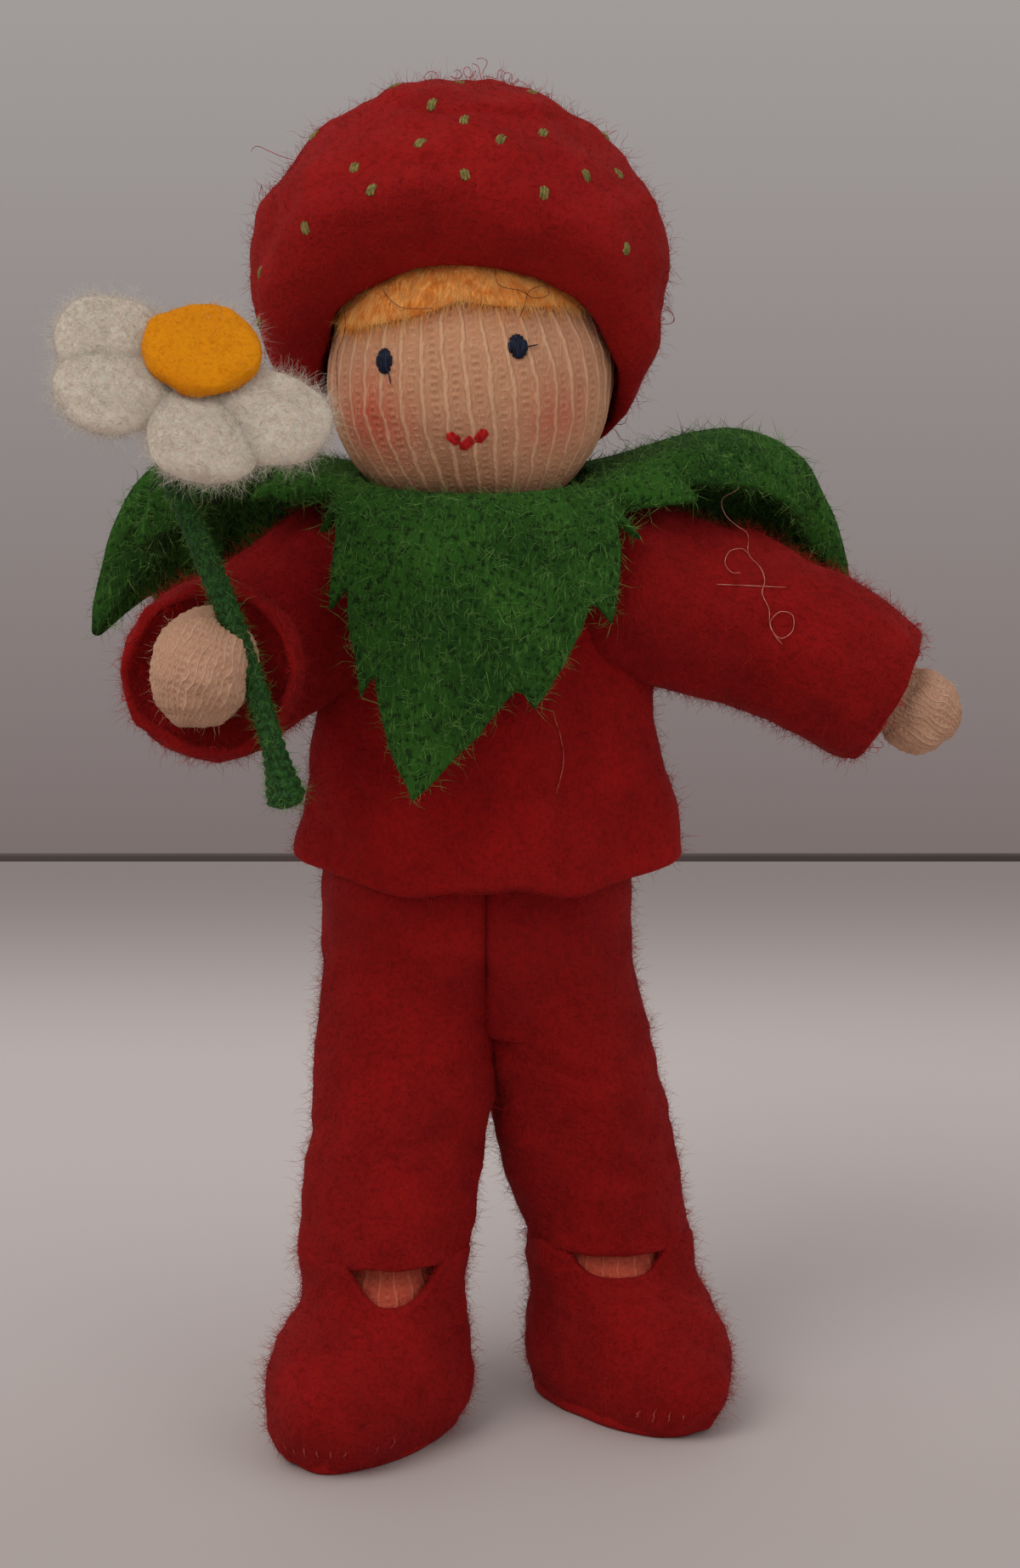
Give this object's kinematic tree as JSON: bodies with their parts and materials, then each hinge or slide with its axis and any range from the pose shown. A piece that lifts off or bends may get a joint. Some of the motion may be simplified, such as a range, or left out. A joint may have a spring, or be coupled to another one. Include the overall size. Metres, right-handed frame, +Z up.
{
  "type": "bendy doll",
  "caption": "Small standing felt doll on a bendable wire armature, with a knit head, a bulbous strawberry cap, a leaf collar, a flared jacket, trousers and shoes, holding a daisy on a stem.",
  "frame": {"origin": "on the plane under the soles, below the middle of the doll's outline seen from above", "axes": "+Z up, -Y the way the doll faces, +X towards its left hand"},
  "size_m": [0.0753, 0.0475, 0.1174],
  "materials": {
    "red_felt": "matt wool felt with a short fuzz",
    "green_felt": "matt wool felt with a short fuzz",
    "flesh_knit": "fine ribbed cotton knit",
    "white_wool": "loose wool stuffing",
    "white_felt": "fluffy needle-felted wool",
    "hair_wool": "combed wool fleece",
    "yellow_felt": "dense matt felt",
    "green_yarn": "fine yarn wound tightly",
    "armature_wire": "plain soft wire",
    "navy_thread": "embroidery thread",
    "red_thread": "embroidery thread",
    "peach_thread": "sewing thread"
  },
  "bodies": {
    "pelvis": {"trouser_seat": "red_felt", "pelvis_wool": "white_wool", "hip_yoke_wire": "armature_wire"},
    "torso": {"jacket": "red_felt", "trunk_wool": "white_wool", "spine_wire": "armature_wire", "shoulder_yoke_wire": "armature_wire", "leaf_collar": "green_felt"},
    "left_hip_link": {"left_hip_wire_bend": "armature_wire"},
    "left_thigh": {"left_trouser_thigh": "red_felt", "left_thigh_wool": "white_wool", "left_thigh_wire": "armature_wire"},
    "left_shin": {"left_trouser_shin": "red_felt", "left_shin_wool": "white_wool", "left_shin_wire": "armature_wire"},
    "left_shoe": {"left_shoe_upper": "red_felt", "left_sole": "red_felt", "left_foot": "flesh_knit", "left_foot_wire": "armature_wire"},
    "right_hip_link": {"right_hip_wire_bend": "armature_wire"},
    "right_thigh": {"right_trouser_thigh": "red_felt", "right_thigh_wool": "white_wool", "right_thigh_wire": "armature_wire"},
    "right_shin": {"right_trouser_shin": "red_felt", "right_shin_wool": "white_wool", "right_shin_wire": "armature_wire"},
    "right_shoe": {"right_shoe_upper": "red_felt", "right_sole": "red_felt", "right_foot": "flesh_knit", "right_foot_wire": "armature_wire"},
    "left_shoulder_link": {"left_shoulder_wire_bend": "armature_wire"},
    "left_upper_arm": {"left_sleeve_upper": "red_felt", "left_upper_arm_wool": "white_wool", "left_upper_arm_wire": "armature_wire"},
    "left_forearm": {"left_sleeve_lower": "red_felt", "left_forearm_wool": "white_wool", "left_forearm_wire": "armature_wire", "left_hand": "flesh_knit"},
    "right_shoulder_link": {"right_shoulder_wire_bend": "armature_wire"},
    "right_upper_arm": {"right_sleeve_upper": "red_felt", "right_upper_arm_wool": "white_wool", "right_upper_arm_wire": "armature_wire"},
    "right_forearm": {"right_sleeve_lower": "red_felt", "right_forearm_wool": "white_wool", "right_forearm_wire": "armature_wire", "right_hand": "flesh_knit"},
    "neck_lower_link": {"neck_wire_lower_bend": "armature_wire"},
    "neck_upper_link": {"neck_wire_upper_bend": "armature_wire"},
    "head": {"head_knit": "flesh_knit", "head_ball": "white_wool", "head_wire": "armature_wire", "neck_thread": "peach_thread", "hair": "hair_wool", "left_eye": "navy_thread", "right_eye": "navy_thread", "mouth_stitches": "red_thread", "hat": "red_felt"},
    "flower_stem": {"daisy_stem": "green_yarn"},
    "blossom": {"daisy_petals": "white_felt", "daisy_disc": "yellow_felt"}
  },
  "joints": [
    {"name": "waist_bend", "type": "hinge", "parent": "pelvis", "child": "torso", "pos_m": [-0.002, 0.005, 0.0513], "axis": [-1, 0, 0], "range_deg": [-18, 18]},
    {"name": "left_hip_swing", "type": "hinge", "parent": "pelvis", "child": "left_hip_link", "pos_m": [0.0051, 0.005, 0.0415], "axis": [-1, 0, 0], "range_deg": [-20, 85]},
    {"name": "left_hip_spread", "type": "hinge", "parent": "left_hip_link", "child": "left_thigh", "pos_m": [0.0051, 0.005, 0.0415], "axis": [0, -1, 0], "range_deg": [0, 22]},
    {"name": "left_knee_bend", "type": "hinge", "parent": "left_thigh", "child": "left_shin", "pos_m": [0.00655, 0.00575, 0.02825], "axis": [1, 0, 0], "range_deg": [0, 80]},
    {"name": "left_ankle_pitch", "type": "hinge", "parent": "left_shin", "child": "left_shoe", "pos_m": [0.008, 0.0065, 0.015], "axis": [0.8191, 0.5736, 0], "range_deg": [-12, 12]},
    {"name": "right_hip_swing", "type": "hinge", "parent": "pelvis", "child": "right_hip_link", "pos_m": [-0.0091, 0.005, 0.0415], "axis": [-1, 0, 0], "range_deg": [-33, 72]},
    {"name": "right_hip_spread", "type": "hinge", "parent": "right_hip_link", "child": "right_thigh", "pos_m": [-0.0091, 0.005, 0.0415], "axis": [0, 1, 0], "range_deg": [0, 22]},
    {"name": "right_knee_bend", "type": "hinge", "parent": "right_thigh", "child": "right_shin", "pos_m": [-0.0098, 0.00175, 0.02825], "axis": [1, 0, 0], "range_deg": [0, 80]},
    {"name": "right_ankle_pitch", "type": "hinge", "parent": "right_shin", "child": "right_shoe", "pos_m": [-0.0105, -0.0015, 0.015], "axis": [0.866, -0.5, 0], "range_deg": [-12, 12]},
    {"name": "neck_tilt", "type": "hinge", "parent": "torso", "child": "neck_lower_link", "pos_m": [-0.002, 0.005, 0.0792], "axis": [0, -1, 0], "range_deg": [-12, 12], "deforming": ["leaf_collar"]},
    {"name": "neck_nod", "type": "hinge", "parent": "neck_lower_link", "child": "neck_upper_link", "pos_m": [-0.002, 0.005, 0.0792], "axis": [-1, 0, 0], "range_deg": [-15, 15]},
    {"name": "neck_turn", "type": "hinge", "parent": "neck_upper_link", "child": "head", "pos_m": [-0.002, 0.005, 0.0792], "axis": [-0.1045, 0, 0.9945], "range_deg": [-45, 45]},
    {"name": "left_shoulder_sweep", "type": "hinge", "parent": "torso", "child": "left_shoulder_link", "pos_m": [0.011, 0.005, 0.0737], "axis": [0, 0, -1], "range_deg": [-15, 30]},
    {"name": "left_shoulder_raise", "type": "hinge", "parent": "left_shoulder_link", "child": "left_upper_arm", "pos_m": [0.011, 0.005, 0.0737], "axis": [0, -1, 0], "range_deg": [-12, 45]},
    {"name": "left_elbow_bend", "type": "hinge", "parent": "left_upper_arm", "child": "left_forearm", "pos_m": [0.02201, 0.005, 0.07075], "axis": [0, 0, -1], "range_deg": [0, 60]},
    {"name": "right_shoulder_sweep", "type": "hinge", "parent": "torso", "child": "right_shoulder_link", "pos_m": [-0.015, 0.005, 0.0737], "axis": [0, 0, 1], "range_deg": [-35, 3]},
    {"name": "right_shoulder_raise", "type": "hinge", "parent": "right_shoulder_link", "child": "right_upper_arm", "pos_m": [-0.015, 0.005, 0.0737], "axis": [-0.4226, 0.9063, 0], "range_deg": [-20, 4]},
    {"name": "right_elbow_bend", "type": "hinge", "parent": "right_upper_arm", "child": "right_forearm", "pos_m": [-0.02404, 0.00079, 0.06817], "axis": [-0.5724, 0.1774, 0.8006], "range_deg": [-60, 3]},
    {"name": "flower_twirl", "type": "hinge", "parent": "right_forearm", "child": "flower_stem", "pos_m": [-0.02176, -0.01382, 0.07057], "axis": [-0.3073, 0, 0.9516], "range_deg": [-20, 20]},
    {"name": "flower_nod", "type": "hinge", "parent": "flower_stem", "child": "blossom", "pos_m": [-0.02583, -0.01261, 0.09359], "axis": [1, 0, 0], "range_deg": [-20, 20]}
  ]
}
